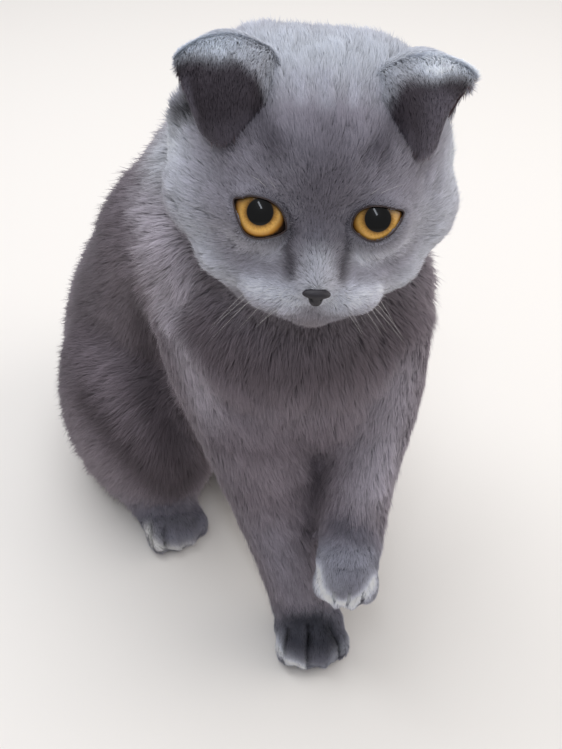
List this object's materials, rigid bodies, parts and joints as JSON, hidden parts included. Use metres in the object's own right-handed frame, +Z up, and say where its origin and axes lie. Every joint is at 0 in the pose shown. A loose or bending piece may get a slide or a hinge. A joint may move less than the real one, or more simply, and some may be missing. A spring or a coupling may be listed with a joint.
{
  "type": "kitten figure",
  "caption": "Sitting blue-grey kitten with folded ears, round head and amber eyes, one forepaw lifted over the other, tail curled round behind.",
  "frame": {"origin": "on the floor, at the bottom centre of the whole cat's box", "axes": "+Z up, the face looks along -Y, +X to the cat's left"},
  "size_m": [0.1426, 0.1964, 0.1899],
  "materials": {
    "coat": "soft blue-grey fur",
    "nose_skin": "matt dark slate nose leather",
    "eye": "wet, glossy amber"
  },
  "bodies": {
    "root": {"head": "coat", "neck": "coat", "torso": "coat", "ear_left": "coat", "ear_right": "coat", "foreleg_left": "coat", "foreleg_right": "coat", "forepaw_left": "coat", "forepaw_right": "coat", "thigh_left": "coat", "thigh_right": "coat", "hindfoot_left": "coat", "hindfoot_right": "coat", "tail_base": "coat", "tail_middle": "coat", "tail_tip": "coat", "nose": "nose_skin", "eye_left": "eye", "eye_right": "eye"}
  },
  "joints": []
}
